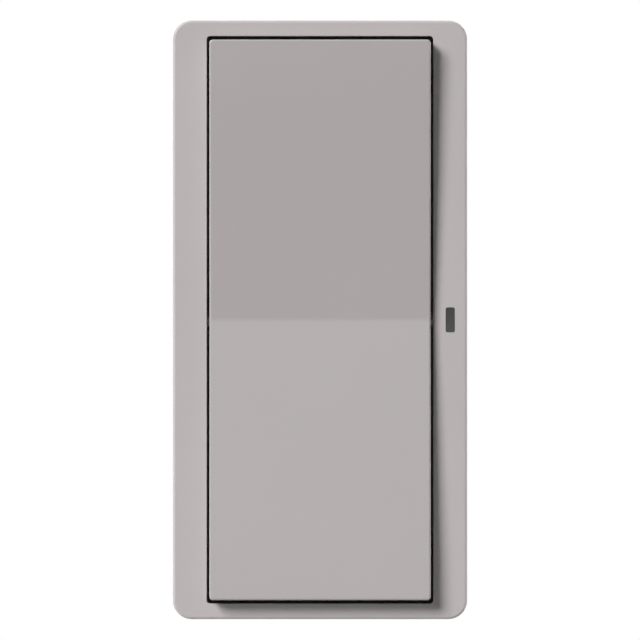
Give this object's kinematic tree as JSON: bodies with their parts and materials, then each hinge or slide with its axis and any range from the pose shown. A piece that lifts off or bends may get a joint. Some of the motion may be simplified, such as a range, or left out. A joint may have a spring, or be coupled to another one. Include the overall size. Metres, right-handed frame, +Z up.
{
  "type": "wireless switch remote",
  "caption": "Upright rectangular wireless remote with one tall rocking paddle in a rounded frame, a small indicator window beside it and a round battery door behind.",
  "frame": {"origin": "centre of the rear face, the one that lies against the wall, bracket or pad", "axes": "+Z up the wall along the paddle, +Y into the wall, +X to the right seen from the front; the paddle faces -Y"},
  "size_m": [0.0326, 0.0116, 0.0666],
  "materials": {
    "frame_plastic": "fine satin mould finish, warm light grey",
    "paddle_plastic": "semi-gloss, warm light grey",
    "lens_plastic": "smoky dark grey light pipe",
    "housing_plastic": "fine matte mould finish, warm light grey",
    "screw_steel": "zinc plated",
    "board_laminate": "green solder mask",
    "cell_steel": "brushed nickel plate",
    "contact_steel": "tinned spring steel",
    "chip_plastic": "moulded black",
    "crystal_can": "drawn can",
    "led_resin": "clear resin on a white base",
    "antenna_wire": "formed copper wire",
    "capacitor_ceramic": "tan ceramic",
    "resistor_film": "black film on ceramic",
    "switch_plastic": "moulded black",
    "spring_steel": "spring wire",
    "plunger_plastic": "moulded dark grey",
    "cover_steel": "pressed sheet"
  },
  "bodies": {
    "body": {"front_frame": "frame_plastic", "indicator_lens": "lens_plastic", "rear_housing": "housing_plastic", "housing_screws": "screw_steel", "circuit_board": "board_laminate", "coin_cell": "cell_steel", "battery_clip_positive": "contact_steel", "battery_contact_negative": "contact_steel", "radio_chip": "chip_plastic", "crystal": "crystal_can", "indicator_led": "led_resin", "antenna": "antenna_wire", "chip_capacitors": "capacitor_ceramic", "chip_resistors": "resistor_film", "upper_switch_body": "switch_plastic", "upper_switch_terminals": "contact_steel", "upper_switch_dome": "contact_steel", "upper_return_spring": "spring_steel", "upper_switch_cover": "cover_steel", "lower_switch_body": "switch_plastic", "lower_switch_terminals": "contact_steel", "lower_switch_dome": "contact_steel", "lower_return_spring": "spring_steel", "lower_switch_cover": "cover_steel"},
    "paddle": {"paddle": "paddle_plastic"},
    "upper_plunger": {"upper_switch_plunger": "plunger_plastic"},
    "lower_plunger": {"lower_switch_plunger": "plunger_plastic"},
    "battery_door": {"battery_door": "housing_plastic"}
  },
  "joints": [
    {"name": "paddle_rock", "type": "hinge", "parent": "body", "child": "paddle", "pos_m": [0, -0.00695, 0], "axis": [1, 0, 0], "range_deg": [-1.2, 1.2], "stiffness_Nm_per_rad": 2},
    {"name": "upper_plunger_travel", "type": "slide", "parent": "body", "child": "upper_plunger", "axis": [0, 1, 0], "range_m": [-0.00038, 0.00038], "deforming": ["upper_return_spring", "upper_switch_dome"]},
    {"name": "lower_plunger_travel", "type": "slide", "parent": "body", "child": "lower_plunger", "axis": [0, 1, 0], "range_m": [-0.00038, 0.00038], "deforming": ["lower_return_spring", "lower_switch_dome"]},
    {"name": "battery_door_turn", "type": "hinge", "parent": "body", "child": "battery_door", "pos_m": [0, -0.0005, -0.01675], "axis": [0, 1, 0], "range_deg": [0, 35]}
  ],
  "couplings": [
    {"joint": "upper_plunger_travel", "follows": "paddle_rock", "m_per_rad": -0.018},
    {"joint": "lower_plunger_travel", "follows": "paddle_rock", "m_per_rad": 0.018}
  ]
}
